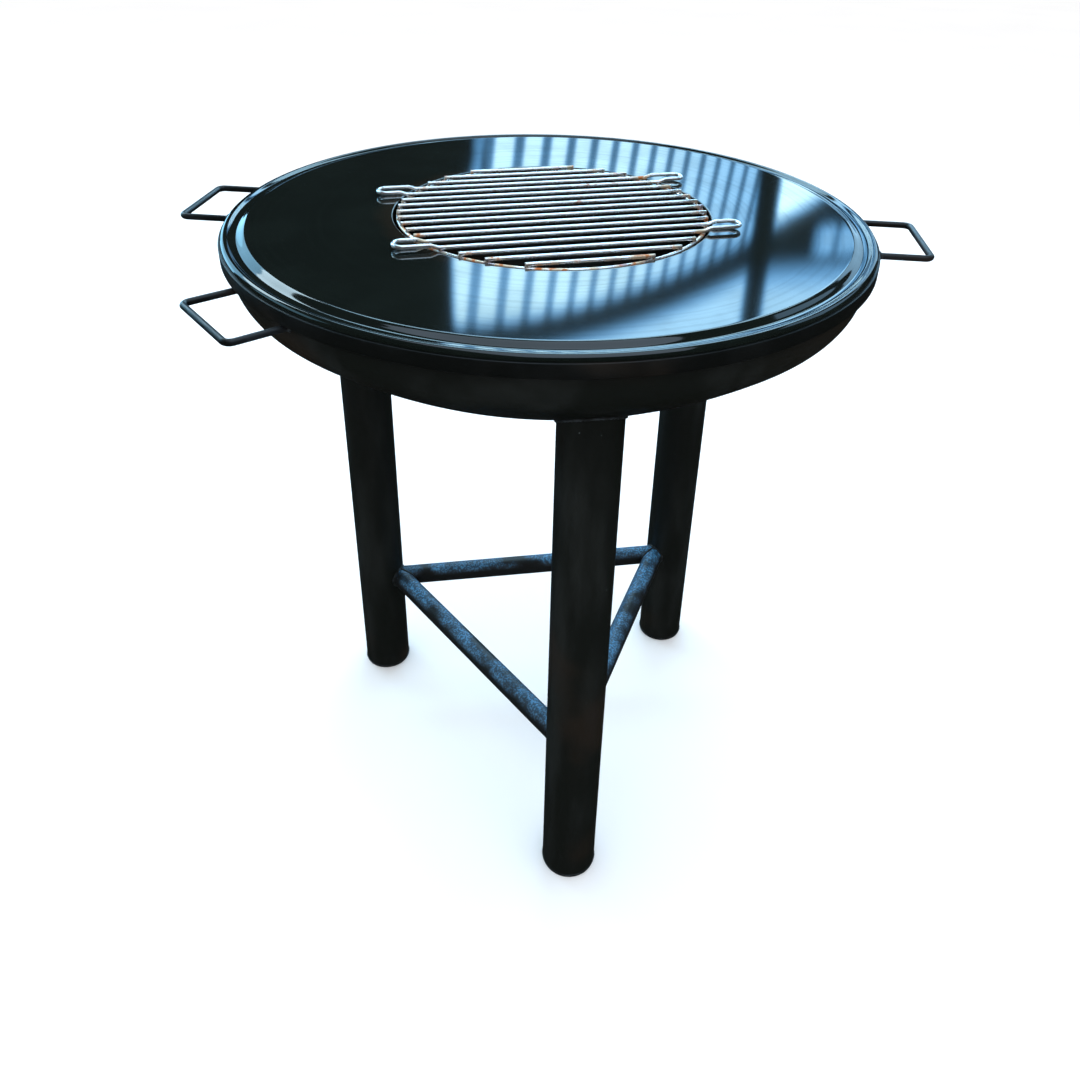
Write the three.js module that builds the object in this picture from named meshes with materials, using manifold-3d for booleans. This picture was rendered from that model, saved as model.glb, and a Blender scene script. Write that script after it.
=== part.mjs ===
// Fire bowl with a griddle ring and a lift-out grate, on three pipe legs.
// Millimetres, +Z up. The origin is on the floor, on the axis of the bowl.
import * as THREE from 'three';
import { mergeVertices } from 'three/addons/utils/BufferGeometryUtils.js';
import Module from 'manifold-3d';

const wasm = await Module();
wasm.setup();

// Clearance between pieces that touch or are welded to each other.
const GAP = 0.3;

// Flats round each turned piece, and round each pipe, bar and wire.
const BOWL_FLATS = 72;
const PLATE_FLATS = 80;
const RING_FLATS = 64;
const LEG_FLATS = 32;
const BRACE_FLATS = 24;
const HANDLE_FLATS = 10;
const WIRE_FLATS = 8;
const CROWN_STEPS = 8;
const KNUCKLE_STEPS = 6;
const HANDLE_BEND_STEPS = 5;
const LOOP_BEND_STEPS = 2;

// Stand: three upright pipes on a circle, tied by a triangle of smaller pipes.
const LEG_CIRCLE = 300;
const LEG_RADIUS = 38.05;
const LEG_WALL = 3.2;
const LEG_AZIMUTHS = { leg_right: 30, leg_left: 150, leg_front: 270 };
const FOOT_DISC = 4;
const BRACE_HEIGHT = 196;
const BRACE_RADIUS = 16;
const BRACE_WALL = 2.6;
const BRACE_CORNER = 265;

// Bowl: a dished end with a straight flange that stands up inside the skirt and carries the griddle.
const BOWL_RADIUS = 402;
const BOWL_WALL = 4;
const FLANGE_BOTTOM = 855;
const KNUCKLE = 57;
const CROWN = 597;

// Griddle: a pressed ring plate, a skirt under its edge and tabs under its hole.
// The hole, its tabs and the grate lie a little to the right of the plate's own centre.
const PLATE_TOP = 890;
const PLATE_THICKNESS = 5;
const PLATE_RADIUS = 409.5;
const HOLE_RADIUS = 204.5;
const HOLE_OFFSET = 3;
const HOLE_CHAMFER = 1;
const SHOULDER_RADIUS = 384;
const SHOULDER_FALL = 4;
const SHOULDER_CURVE = 0.8;
const GUTTER_DROP = 4.5;
const GUTTER_FILLET = 1.6;
const GUTTER_FLAT = [392, 399];
const BEAD_RADIUS = 5.5;
const BEAD_DEPTH = 7;
const BEAD_TURN = 120;
const BEAD_STEPS = 4;
const SKIRT_RADIUS = 412;
const SKIRT_WALL = 4;
const SKIRT_BOTTOM = 865;
const LIP_BOTTOM = 882;
const TAB_AZIMUTHS = [35, 125, 215, 305];
const TAB_REACH = [189, 226];
const TAB_WIDTH = 24;
const TAB_THICKNESS = 4;

// Carrying handles: round bar bent to a square U.
const HANDLE_BAR = 4;
const HANDLE_SPAN = 122;
const HANDLE_BEND = 9;
const PLATE_HANDLE = { azimuth: 165, height: 877, reach: 470, seat: SKIRT_RADIUS };
const BOWL_HANDLE = { azimuth: 210, height: 859, reach: 464, seat: BOWL_RADIUS };

// Grate: a wire ring with 17 bar lines, of which four are the sides of two looped wires.
const GRATE_TURN = 4.5;
const RING_RADIUS = 198;
const WIRE = 2.5;
const BAR_PITCH = 22.9;
const BAR_LINES = 17;
const LOOP_LINES = [3, 4, 12, 13];
const LOOP_TIP = 214.5;
const LOOP_RISE = 3.3;
const LOOP_KINK = 9;

const STEEL = { color: 0x161718, roughness: 0.55, metalness: 0.4 };
const SEASONED = { color: 0x20282d, roughness: 0.2, metalness: 0.9 };
const BRIGHT = { color: 0xc8c6c2, roughness: 0.25, metalness: 1.0 };

const object = new THREE.Group();

function radians(degrees) {
  return THREE.MathUtils.degToRad(degrees);
}

function polar(radius, degrees, z = 0) {
  const angle = radians(degrees);
  return new THREE.Vector3(radius * Math.cos(angle), radius * Math.sin(angle), z);
}

// Geometry helpers -----------------------------------------------------------------------------

function welded(geometry) {
  geometry.deleteAttribute('normal');
  geometry.deleteAttribute('uv');
  return mergeVertices(geometry, 1e-4);
}

function toSolid(geometry) {
  const merged = welded(geometry);
  const vertProperties = new Float32Array(merged.attributes.position.array);
  const triVerts = new Uint32Array(merged.index.array);
  return new wasm.Manifold(new wasm.Mesh({ numProp: 3, vertProperties, triVerts }));
}

function toGeometry(manifold) {
  const mesh = manifold.getMesh();
  const geometry = new THREE.BufferGeometry();
  geometry.setAttribute('position', new THREE.BufferAttribute(mesh.vertProperties, 3));
  geometry.setIndex(new THREE.BufferAttribute(mesh.triVerts, 1));
  geometry.computeVertexNormals();
  return geometry;
}

// Turns a closed outline of [radius, height] pairs, given counter-clockwise, round the Z axis.
function turned(outline, segments) {
  const points = outline.map(([radius, height]) => new THREE.Vector2(radius, height));
  const onAxis = points[0].x === 0 && points[points.length - 1].x === 0;
  if (!onAxis) points.push(points[0].clone());
  return new THREE.LatheGeometry(points, segments).rotateX(Math.PI / 2);
}

// Points of an arc in the outline plane, angles in degrees from the radius direction.
function arc(centre, radius, from, to, steps) {
  const points = [];
  for (let i = 0; i <= steps; i += 1) {
    const angle = radians(from + ((to - from) * i) / steps);
    points.push([centre[0] + radius * Math.cos(angle), centre[1] + radius * Math.sin(angle)]);
  }
  return points;
}

function upright(radius, bottom, top, sides) {
  return new THREE.CylinderGeometry(radius, radius, top - bottom, sides)
    .rotateX(Math.PI / 2)
    .translate(0, 0, (bottom + top) / 2);
}

function along(radius, length, sides) {
  return new THREE.CylinderGeometry(radius, radius, length, sides).rotateZ(Math.PI / 2);
}

// A round bar bent at its corners, with stations only at its ends and round its bends.
class BentBar extends THREE.Curve {
  constructor(corners, bend, stepsPerBend) {
    super();
    this.stations = [];
    const last = corners.length - 1;
    this.addStation(corners[0], corners[1].clone().sub(corners[0]).normalize());
    for (let i = 1; i < last; i += 1) {
      const arriving = corners[i].clone().sub(corners[i - 1]).normalize();
      const leaving = corners[i + 1].clone().sub(corners[i]).normalize();
      this.addBend(corners[i], arriving, leaving, bend, stepsPerBend);
    }
    this.addStation(corners[last], corners[last].clone().sub(corners[last - 1]).normalize());
  }

  addStation(point, tangent) {
    this.stations.push({ point: point.clone(), tangent: tangent.clone() });
  }

  addBend(corner, arriving, leaving, bend, steps) {
    const turn = arriving.angleTo(leaving);
    const setback = bend * Math.tan(turn / 2);
    const start = corner.clone().addScaledVector(arriving, -setback);
    const inward = leaving.clone().addScaledVector(arriving, -leaving.dot(arriving)).normalize();
    for (let i = 0; i <= steps; i += 1) {
      const angle = (turn * i) / steps;
      const point = start.clone()
        .addScaledVector(arriving, bend * Math.sin(angle))
        .addScaledVector(inward, bend * (1 - Math.cos(angle)));
      const tangent = arriving.clone().multiplyScalar(Math.cos(angle))
        .addScaledVector(inward, Math.sin(angle));
      this.addStation(point, tangent);
    }
  }

  stationAt(u) {
    return this.stations[Math.round(u * (this.stations.length - 1))];
  }

  getPoint(u) {
    return this.stationAt(u).point.clone();
  }

  getPointAt(u) {
    return this.getPoint(u);
  }

  getTangentAt(u) {
    return this.stationAt(u).tangent.clone();
  }
}

function bentBar(corners, barRadius, bend, sides, stepsPerBend) {
  const path = new BentBar(corners, bend, stepsPerBend);
  const section = new THREE.Shape();
  for (let i = 0; i < sides; i += 1) {
    const angle = (2 * Math.PI * (i + 0.5)) / sides;
    const x = barRadius * Math.cos(angle);
    const y = barRadius * Math.sin(angle);
    if (i === 0) section.moveTo(x, y);
    else section.lineTo(x, y);
  }
  section.closePath();
  return new THREE.ExtrudeGeometry(section, {
    steps: path.stations.length - 1,
    bevelEnabled: false,
    extrudePath: path,
  });
}

function add(parent, name, geometry, finish) {
  const mesh = new THREE.Mesh(geometry, new THREE.MeshStandardMaterial(finish));
  mesh.name = name;
  parent.add(mesh);
  return mesh;
}

// Bowl -----------------------------------------------------------------------------------------

// The outer and the inner line of the dished end, from the axis out to the flange.
function dishedLine(inset) {
  const knuckleCentre = [BOWL_RADIUS - KNUCKLE, FLANGE_BOTTOM];
  const reach = CROWN - KNUCKLE;
  const crownCentre = [0, FLANGE_BOTTOM + Math.sqrt(reach ** 2 - knuckleCentre[0] ** 2)];
  const tangent = THREE.MathUtils.radToDeg(Math.asin(knuckleCentre[0] / reach));
  const crown = arc(crownCentre, CROWN - inset, -90, -90 + tangent, CROWN_STEPS);
  const knuckle = arc(knuckleCentre, KNUCKLE - inset, -90 + tangent, 0, KNUCKLE_STEPS);
  crown[0][0] = 0;
  return [...crown, ...knuckle.slice(1)];
}

function fireBowl() {
  const outer = dishedLine(0);
  const inner = dishedLine(BOWL_WALL).reverse();
  const rimTop = PLATE_TOP - GUTTER_DROP - PLATE_THICKNESS - GAP;
  const outline = [...outer, [BOWL_RADIUS, rimTop], [BOWL_RADIUS - BOWL_WALL, rimTop], ...inner];
  add(object, 'fire_bowl', toGeometry(toSolid(turned(outline, BOWL_FLATS))), STEEL);
}

// The space under the bowl's outer skin, kept clear of the pipes that stand against it.
function bowlCutter() {
  const outer = dishedLine(-GAP);
  return toSolid(turned([...outer, [0, outer[outer.length - 1][1]]], BOWL_FLATS));
}

// Stand ----------------------------------------------------------------------------------------

function legs() {
  const cutter = bowlCutter();
  for (const [name, azimuth] of Object.entries(LEG_AZIMUTHS)) {
    const { x, y } = polar(LEG_CIRCLE, azimuth);
    const post = (radius, bottom, top) => upright(radius, bottom, top, LEG_FLATS).translate(x, y, 0);
    const outer = toSolid(post(LEG_RADIUS, FOOT_DISC + GAP, FLANGE_BOTTOM - KNUCKLE));
    const bore = toSolid(post(LEG_RADIUS - LEG_WALL, 0, FLANGE_BOTTOM));
    add(object, name, toGeometry(outer.subtract(bore).subtract(cutter)), STEEL);
    add(object, name.replace('leg', 'foot_disc'), welded(post(LEG_RADIUS, 0, FOOT_DISC)), STEEL);
  }
}

// A brace runs between two corners of the triangle, mitred to its neighbours and coped to the legs.
function brace(name, fromAzimuth, toAzimuth) {
  const start = polar(BRACE_CORNER, fromAzimuth, BRACE_HEIGHT);
  const end = polar(BRACE_CORNER, toAzimuth, BRACE_HEIGHT);
  const middle = start.clone().add(end).multiplyScalar(0.5);
  const heading = Math.atan2(end.y - start.y, end.x - start.x);
  const length = start.distanceTo(end) + 2 * LEG_CIRCLE;
  const place = (geometry) => toSolid(geometry.rotateZ(heading).translate(middle.x, middle.y, middle.z));
  let pipe = place(along(BRACE_RADIUS, length, BRACE_FLATS));
  pipe = pipe.subtract(place(along(BRACE_RADIUS - BRACE_WALL, 2 * length, BRACE_FLATS)));
  for (const azimuth of [fromAzimuth, toAzimuth]) {
    pipe = pipe.subtract(mitreCutter(azimuth, middle)).subtract(legCutter(azimuth));
  }
  add(object, name, toGeometry(pipe), STEEL);
}

// Everything on the far side of the upright plane through a leg and the axis.
function mitreCutter(azimuth, keepPoint) {
  const size = 4 * LEG_CIRCLE;
  const normal = polar(1, azimuth + 90);
  const side = Math.sign(normal.dot(keepPoint));
  const centre = normal.multiplyScalar(-side * (size / 2 - GAP / 2));
  const box = new THREE.BoxGeometry(2 * size, size, size)
    .rotateZ(radians(azimuth))
    .translate(centre.x, centre.y, BRACE_HEIGHT);
  return toSolid(box);
}

function legCutter(azimuth) {
  const foot = polar(LEG_CIRCLE, azimuth);
  const reach = 2 * LEG_RADIUS;
  const post = upright(LEG_RADIUS + GAP, BRACE_HEIGHT - reach, BRACE_HEIGHT + reach, LEG_FLATS);
  const beyond = new THREE.BoxGeometry(2 * LEG_CIRCLE, 2 * LEG_CIRCLE, 2 * reach)
    .translate(2 * LEG_CIRCLE, 0, BRACE_HEIGHT)
    .rotateZ(radians(azimuth));
  return toSolid(post.translate(foot.x, foot.y, 0)).add(toSolid(beyond));
}

// Handles --------------------------------------------------------------------------------------

function handle(name, { height, reach, seat }, azimuth) {
  const half = HANDLE_SPAN / 2;
  const spare = 3 * HANDLE_BAR;
  const root = seat - spare;
  const corners = [[root, -half], [reach, -half], [reach, half], [root, half]]
    .map(([x, y]) => new THREE.Vector3(x, y, height));
  const bar = toSolid(bentBar(corners, HANDLE_BAR, HANDLE_BEND, HANDLE_FLATS, HANDLE_BEND_STEPS));
  const wall = toSolid(upright(seat + GAP, height - spare, height + spare, 2 * BOWL_FLATS));
  const mesh = add(object, name, toGeometry(bar.subtract(wall)), STEEL);
  mesh.rotation.z = radians(azimuth);
}

function handlePair(kind, sizes) {
  handle(`${kind}_handle_left`, sizes, sizes.azimuth);
  handle(`${kind}_handle_right`, sizes, sizes.azimuth - 180);
}

// Griddle --------------------------------------------------------------------------------------

function griddlePlate() {
  const gutter = PLATE_TOP - GUTTER_DROP;
  const bead = [PLATE_RADIUS - BEAD_RADIUS, PLATE_TOP - BEAD_DEPTH];
  const outline = [
    [HOLE_RADIUS, PLATE_TOP - PLATE_THICKNESS],
    [SHOULDER_RADIUS - SHOULDER_FALL, PLATE_TOP - PLATE_THICKNESS],
    [SHOULDER_RADIUS + SHOULDER_FALL, gutter - PLATE_THICKNESS],
    [bead[0], gutter - PLATE_THICKNESS],
    [bead[0], LIP_BOTTOM],
    [PLATE_RADIUS, LIP_BOTTOM],
    ...arc(bead, BEAD_RADIUS, 0, BEAD_TURN, BEAD_STEPS),
    [GUTTER_FLAT[1], gutter],
    [GUTTER_FLAT[0], gutter],
    [SHOULDER_RADIUS + SHOULDER_FALL, gutter + GUTTER_FILLET],
    [SHOULDER_RADIUS, PLATE_TOP - SHOULDER_CURVE],
    [SHOULDER_RADIUS - SHOULDER_FALL, PLATE_TOP],
    [HOLE_RADIUS + HOLE_CHAMFER, PLATE_TOP],
    [HOLE_RADIUS, PLATE_TOP - HOLE_CHAMFER],
  ];
  const plate = welded(turned(outline, PLATE_FLATS));
  shiftInside(plate, (HOLE_RADIUS + SHOULDER_RADIUS) / 2, HOLE_OFFSET);
  add(object, 'griddle_plate', plate, SEASONED);
}

// Moves the points nearer the axis than a radius along X.
function shiftInside(geometry, radius, offset) {
  const points = geometry.attributes.position;
  for (let i = 0; i < points.count; i += 1) {
    const inside = Math.hypot(points.getX(i), points.getY(i)) < radius;
    if (inside) points.setX(i, points.getX(i) + offset);
  }
}

function plateSkirt() {
  const inner = SKIRT_RADIUS - SKIRT_WALL;
  const top = LIP_BOTTOM - GAP;
  const outline = [[inner, SKIRT_BOTTOM], [SKIRT_RADIUS, SKIRT_BOTTOM], [SKIRT_RADIUS, top], [inner, top]];
  add(object, 'plate_skirt', welded(turned(outline, PLATE_FLATS)), STEEL);
}

function grateTabs() {
  const [inner, outer] = TAB_REACH;
  const top = PLATE_TOP - PLATE_THICKNESS - GAP;
  TAB_AZIMUTHS.forEach((azimuth, index) => {
    const tab = new THREE.BoxGeometry(outer - inner, TAB_WIDTH, TAB_THICKNESS)
      .translate((inner + outer) / 2, 0, top - TAB_THICKNESS / 2);
    const mesh = add(object, `grate_tab_${index + 1}`, welded(tab), STEEL);
    mesh.rotation.z = radians(azimuth);
    mesh.position.x = HOLE_OFFSET;
  });
}

// Grate ----------------------------------------------------------------------------------------

const RING_HEIGHT = PLATE_TOP - PLATE_THICKNESS + WIRE;
const BAR_HEIGHT = RING_HEIGHT + 2 * WIRE + GAP;
const grate = new THREE.Group();
grate.rotation.z = radians(GRATE_TURN);
grate.position.x = HOLE_OFFSET;
object.add(grate);

function barOffset(line) {
  return (line - (BAR_LINES - 1) / 2) * BAR_PITCH;
}

function halfChord(offset) {
  return Math.sqrt(RING_RADIUS ** 2 - offset ** 2);
}

function grateRing() {
  const section = arc([RING_RADIUS, RING_HEIGHT], WIRE, 0, 360, WIRE_FLATS).slice(1);
  add(grate, 'grate_ring', welded(turned(section, RING_FLATS)), BRIGHT);
}

function grateBars() {
  let number = 0;
  for (let line = 0; line < BAR_LINES; line += 1) {
    if (LOOP_LINES.includes(line)) continue;
    number += 1;
    const offset = barOffset(line);
    const bar = along(WIRE, 2 * halfChord(offset) + WIRE, WIRE_FLATS);
    const mesh = add(grate, `grate_bar_${String(number).padStart(2, '0')}`, welded(bar), BRIGHT);
    mesh.position.set(0, offset, BAR_HEIGHT);
  }
}

// Half of a looped wire: out along one bar line, up over the griddle, round and back.
function loopHalf(near, far, side) {
  const top = BAR_HEIGHT + LOOP_RISE;
  const overlap = WIRE / 2;
  const kinkNear = halfChord(near) + WIRE;
  const kinkFar = halfChord(far) + WIRE;
  const shoulder = BAR_PITCH / 3;
  const corners = [
    [-overlap, near, BAR_HEIGHT],
    [kinkNear, near, BAR_HEIGHT],
    [kinkNear + LOOP_KINK, near, top],
    [LOOP_TIP - shoulder, near, top],
    [LOOP_TIP, near + (far - near) / 3, top],
    [LOOP_TIP, far - (far - near) / 3, top],
    [LOOP_TIP - shoulder, far, top],
    [kinkFar + LOOP_KINK, far, top],
    [kinkFar, far, BAR_HEIGHT],
    [-overlap, far, BAR_HEIGHT],
  ].map(([x, y, z]) => new THREE.Vector3(side * x, y, z));
  return toSolid(bentBar(corners, WIRE, 2 * WIRE, WIRE_FLATS, LOOP_BEND_STEPS));
}

function loopWire(name, near, far) {
  const wire = loopHalf(near, far, 1).add(loopHalf(near, far, -1));
  add(grate, name, toGeometry(wire), BRIGHT);
}

fireBowl();
legs();
brace('brace_back', LEG_AZIMUTHS.leg_right, LEG_AZIMUTHS.leg_left);
brace('brace_left', LEG_AZIMUTHS.leg_left, LEG_AZIMUTHS.leg_front);
brace('brace_right', LEG_AZIMUTHS.leg_front, LEG_AZIMUTHS.leg_right);
handlePair('bowl', BOWL_HANDLE);
handlePair('plate', PLATE_HANDLE);
griddlePlate();
plateSkirt();
grateTabs();
grateRing();
grateBars();
loopWire('grate_loop_front', barOffset(LOOP_LINES[0]), barOffset(LOOP_LINES[1]));
loopWire('grate_loop_back', barOffset(LOOP_LINES[3]), barOffset(LOOP_LINES[2]));

export default object;
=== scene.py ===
"""Fire bowl with a griddle ring and a lift-out grate: the visible model and its studio."""

import logging
import math
import random
from contextlib import contextmanager
from dataclasses import dataclass, field
from enum import Enum
from typing import Any, Callable, Iterator, Sequence

import bmesh
import bpy
from mathutils import Matrix, Vector


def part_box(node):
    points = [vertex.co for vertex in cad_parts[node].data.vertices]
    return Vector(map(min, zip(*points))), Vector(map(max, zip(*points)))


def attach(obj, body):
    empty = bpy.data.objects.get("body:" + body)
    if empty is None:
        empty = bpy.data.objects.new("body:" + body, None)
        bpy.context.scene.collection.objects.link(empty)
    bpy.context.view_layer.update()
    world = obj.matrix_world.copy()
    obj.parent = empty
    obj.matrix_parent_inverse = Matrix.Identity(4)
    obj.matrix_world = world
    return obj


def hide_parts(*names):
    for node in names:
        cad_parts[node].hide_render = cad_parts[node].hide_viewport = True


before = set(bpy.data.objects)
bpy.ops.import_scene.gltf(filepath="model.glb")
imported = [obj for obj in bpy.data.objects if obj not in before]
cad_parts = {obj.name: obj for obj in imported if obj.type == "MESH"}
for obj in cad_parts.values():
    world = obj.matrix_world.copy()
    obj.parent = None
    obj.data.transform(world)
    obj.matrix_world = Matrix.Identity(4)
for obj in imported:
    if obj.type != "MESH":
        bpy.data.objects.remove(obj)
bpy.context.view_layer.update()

Colour = tuple[float, float, float]
Piece = bpy.types.Object
Rule = Callable[[Vector], bool]

MM = 0.001
WELD_LIMIT = 1e-6
SMOOTH_ANGLE = math.radians(35)
BEND_STEP = math.radians(9)
UP = Vector((0, 0, 1))
log = logging.getLogger("fire_bowl")


class Body(Enum):
    """The rigid bodies that the pieces ride on."""

    STAND = "stand"
    GRIDDLE = "griddle"
    GRATE = "grate"


class Slot(Enum):
    """The record's material slots."""

    PAINT = "black_paint"
    SEASONED = "seasoned_steel"
    BRIGHT = "bright_steel"


# Bench work ------------------------------------------------------------------------------------


def take(piece: Piece) -> None:
    """Makes one piece the only selected one, and the active one."""
    bpy.ops.object.select_all(action="DESELECT")
    piece.select_set(True)
    bpy.context.view_layer.objects.active = piece


@contextmanager
def editing(piece: Piece) -> Iterator[None]:
    """Opens one piece in edit mode with everything selected, and closes it again.

    Args:
        piece: The mesh to edit.
    """
    take(piece)
    bpy.ops.object.mode_set(mode="EDIT")
    bpy.ops.mesh.select_mode(type="VERT")
    bpy.ops.mesh.select_all(action="SELECT")
    yield
    bpy.ops.object.mode_set(mode="OBJECT")


def select_edges(piece: Piece, rule: Rule) -> None:
    """Selects the edges whose two ends both satisfy a rule, in edit mode.

    Args:
        piece: The mesh that is open in edit mode.
        rule: Says of a point whether it is wanted.
    """
    bpy.ops.mesh.select_all(action="DESELECT")
    bpy.ops.mesh.select_mode(type="EDGE")
    mesh = bmesh.from_edit_mesh(piece.data)
    for edge in mesh.edges:
        edge.select_set(all(rule(vertex.co) for vertex in edge.verts))
    bmesh.update_edit_mesh(piece.data)


def place_vertices(piece: Piece, move: Callable[[Vector], Vector]) -> None:
    """Puts each vertex of a piece where a function says.

    Args:
        piece: The mesh to change.
        move: Gives the new place of a point.
    """
    for vertex in piece.data.vertices:
        vertex.co = move(vertex.co)
    piece.data.update()


def close_up(piece: Piece) -> None:
    """Merges doubled vertices and turns all faces outwards."""
    with editing(piece):
        bpy.ops.mesh.remove_doubles(threshold=WELD_LIMIT)
        bpy.ops.mesh.select_all(action="SELECT")
        bpy.ops.mesh.normals_make_consistent(inside=False)


def apply_modifier(piece: Piece, kind: str, **settings: Any) -> None:
    """Adds one modifier to a piece and applies it.

    Args:
        piece: The mesh to change.
        kind: The modifier's type.
        settings: The modifier's settings by name.
    """
    take(piece)
    modifier = piece.modifiers.new(kind.lower(), kind)
    for name, value in settings.items():
        setattr(modifier, name, value)
    bpy.ops.object.modifier_apply(modifier=modifier.name)


def soften(piece: Piece, width: float, segments: int = 2) -> None:
    """Rounds a piece's sharp edges and shades it smooth.

    Args:
        piece: The mesh to finish.
        width: The width of the rounding.
        segments: The number of facets across it.
    """
    rounding = {"width": width, "segments": segments}
    apply_modifier(piece, "BEVEL", limit_method="ANGLE", angle_limit=SMOOTH_ANGLE, **rounding)
    smooth(piece)


def smooth(piece: Piece) -> None:
    """Shades a piece smooth but for its sharp edges."""
    take(piece)
    bpy.ops.object.shade_smooth_by_angle(angle=SMOOTH_ANGLE)


def settle(piece: Piece) -> None:
    """Puts a piece's place, turn and scale into its mesh."""
    take(piece)
    bpy.ops.object.transform_apply(location=True, rotation=True, scale=True)


def join(pieces: Sequence[Piece], name: str) -> Piece:
    """Joins pieces into one.

    Args:
        pieces: The meshes to join.
        name: The name of the joined piece.

    Returns:
        The joined piece.
    """
    take(pieces[0])
    for piece in pieces:
        piece.select_set(True)
    if len(pieces) > 1:
        bpy.ops.object.join()
    joined = bpy.context.object
    joined.name = name
    return joined


def ripple(piece: Piece, size: float, depth: float) -> None:
    """Roughens a piece's surface with soft lumps.

    Args:
        piece: The mesh to change.
        size: The size of one lump.
        depth: How far the lumps stand out.
    """
    texture = bpy.data.textures.new(piece.name + "_lumps", "CLOUDS")
    texture.noise_scale = size
    apply_modifier(piece, "DISPLACE", texture=texture, strength=depth, mid_level=0.5)


def arc(centre: Vector, radius: float, start: float, end: float, steps: int) -> list[Vector]:
    """The points of an arc in the XZ plane.

    Args:
        centre: The middle of the arc.
        radius: Its radius.
        start: Its first angle in radians, from +X towards +Z.
        end: Its last angle.
        steps: The number of steps between them.

    Returns:
        The points, both ends included.
    """
    angles = [start + (end - start) * i / steps for i in range(steps + 1)]
    return [centre + Vector((radius * math.cos(a), 0, radius * math.sin(a))) for a in angles]


def turned(name: str, outline: Sequence[Vector], steps: int) -> Piece:
    """Turns an outline in the XZ plane round the Z axis into a closed solid.

    Args:
        name: The piece's name.
        outline: The outline's points. It is closed unless both its ends are on the axis.
        steps: The number of facets round the axis.

    Returns:
        The new piece.
    """
    on_axis = abs(outline[0].x) < WELD_LIMIT and abs(outline[-1].x) < WELD_LIMIT
    route = list(outline) if on_axis else [*outline, outline[0]]
    bpy.ops.mesh.primitive_plane_add(size=MM)
    piece = bpy.context.object
    piece.name = name
    with editing(piece):
        bpy.ops.mesh.merge(type="CENTER")
        bpy.ops.transform.translate(value=route[0])
        for here, there in zip(route, route[1:]):
            bpy.ops.mesh.extrude_region_move(TRANSFORM_OT_translate={"value": there - here})
        bpy.ops.mesh.select_all(action="SELECT")
        bpy.ops.mesh.remove_doubles(threshold=WELD_LIMIT)
        bpy.ops.mesh.select_all(action="SELECT")
        bpy.ops.mesh.spin(steps=steps, angle=math.tau, center=(0, 0, 0), axis=UP, use_auto_merge=True)
    close_up(piece)
    return piece


def circle(name: str, sides: int, radius: float, place: Vector, **settings: Any) -> Piece:
    """Draws one ring of edges at its place.

    Args:
        name: The new piece's name.
        sides: The number of its edges.
        radius: Its radius.
        place: Its centre.
        settings: How it is filled and turned.

    Returns:
        The new piece.
    """
    bpy.ops.mesh.primitive_circle_add(vertices=sides, radius=radius, location=place, **settings)
    piece = bpy.context.object
    piece.name = name
    settle(piece)
    return piece


def bent_bar(
    name: str, corners: Sequence[Vector], radius: float, bend: float | Sequence[float], sides: int = 20
) -> Piece:
    """Bends a round bar through a list of corners, by extruding and spinning its end.

    Args:
        name: The piece's name.
        corners: The corners of the bar's centre line, its two ends included.
        radius: The bar's radius.
        bend: The radius of its bends, or one radius for each of them.
        sides: The number of facets round the bar.

    Returns:
        The new piece.
    """
    heading = (corners[1] - corners[0]).normalized()
    turn = heading.to_track_quat("Z", "Y").to_euler()
    piece = circle(name, sides, radius, corners[0], fill_type="NGON", rotation=turn)
    with editing(piece):
        here = corners[0]
        bends = bend if isinstance(bend, Sequence) else [bend] * len(corners)
        for before, corner, after, round_by in zip(corners, corners[1:], corners[2:], bends):
            here = bend_round(here, before, corner, after, round_by)
        bpy.ops.mesh.extrude_region_move(TRANSFORM_OT_translate={"value": corners[-1] - here})
    close_up(piece)
    return piece


def bend_round(here: Vector, before: Vector, corner: Vector, after: Vector, bend: float) -> Vector:
    """Extrudes a bar's selected end up to a corner and spins it round the bend.

    Args:
        here: Where the bar's end is.
        before: The corner before this one.
        corner: The corner to go round.
        after: The corner after this one.
        bend: The radius of the bend.

    Returns:
        Where the bar's end is afterwards.
    """
    arriving = (corner - before).normalized()
    leaving = (after - corner).normalized()
    turn = arriving.angle(leaving)
    start = corner - arriving * bend * math.tan(turn / 2)
    inward = (leaving - arriving * leaving.dot(arriving)).normalized()
    bpy.ops.mesh.extrude_region_move(TRANSFORM_OT_translate={"value": start - here})
    steps = max(3, round(turn / BEND_STEP))
    bpy.ops.mesh.spin(steps=steps, angle=-turn, center=start + inward * bend, axis=arriving.cross(leaving))
    return corner + leaving * bend * math.tan(turn / 2)


def weld_along(name: str, source: Piece, rule: Rule, radius: float, unevenness: float = 0.22) -> Piece:
    """Lays a rippled weld bead along the edges of a piece that a rule picks.

    Args:
        name: The bead's name.
        source: The piece whose edges it follows.
        rule: Says of a point whether it is on the seam.
        radius: The bead's radius.
        unevenness: How much thicker and thinner it is from one ripple to the next.

    Returns:
        The bead.
    """
    with editing(source):
        select_edges(source, rule)
        bpy.ops.mesh.duplicate()
        bpy.ops.mesh.separate(type="SELECTED")
    bead = next(o for o in bpy.context.selected_objects if o != source)
    bead.name = name
    take(bead)
    bpy.ops.object.convert(target="CURVE")
    bead.data.bevel_depth = radius
    bead.data.bevel_resolution = 2
    bead.data.use_fill_caps = True
    wobble = random.Random(name)
    for spline in bead.data.splines:
        for index, point in enumerate(spline.points):
            point.radius = 1 + unevenness * (0.5 - index % 2) + wobble.uniform(-0.08, 0.08)
    bpy.ops.object.convert(target="MESH")
    close_up(bead)
    ripple(bead, 6 * MM, radius * unevenness)
    smooth(bead)
    return bead


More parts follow.
